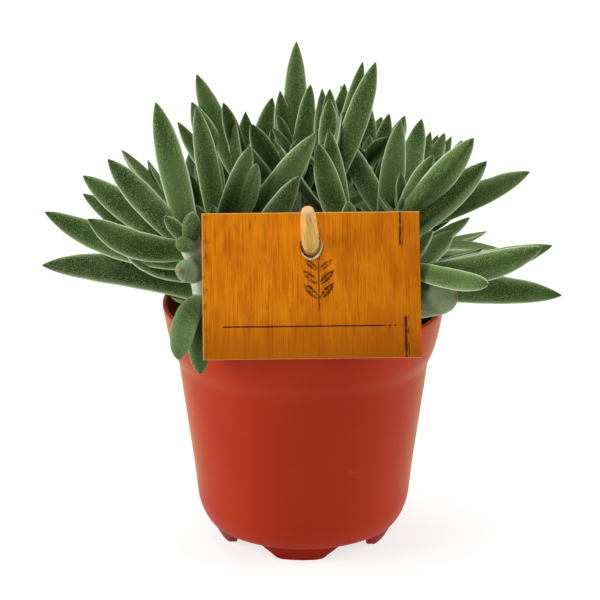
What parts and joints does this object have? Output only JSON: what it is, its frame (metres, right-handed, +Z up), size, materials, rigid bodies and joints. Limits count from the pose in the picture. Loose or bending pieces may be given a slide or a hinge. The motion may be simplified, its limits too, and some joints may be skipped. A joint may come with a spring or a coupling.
{
  "type": "potted succulent",
  "caption": "Potted crassula: leafy succulent shoots in soil in a round plastic nursery pot, with a printed card hung on a wooden stick.",
  "frame": {"origin": "on the pot's axis, where its feet stand; the middle of the bottom of the bounding box", "axes": "+X to the right as seen from the card's side, +Y away from the card towards the back, +Z up the pot's axis"},
  "size_m": [0.217, 0.1469, 0.209],
  "materials": {
    "pot plastic": "satin",
    "soil": "matt",
    "leaves": "velvet",
    "card": "satin",
    "stick wood": "matt"
  },
  "bodies": {
    "root": {"pot": "pot plastic", "soil": "soil", "card": "card", "stick": "stick wood", "shoot_back": "leaves", "shoot_back_left": "leaves", "shoot_centre": "leaves", "shoot_centre_right": "leaves", "shoot_far_left": "leaves", "shoot_far_right": "leaves", "shoot_front": "leaves", "shoot_front_left": "leaves", "shoot_front_right": "leaves", "shoot_left": "leaves", "shoot_low_left": "leaves", "shoot_low_right": "leaves", "shoot_right": "leaves", "shoot_right_back": "leaves"}
  },
  "joints": []
}
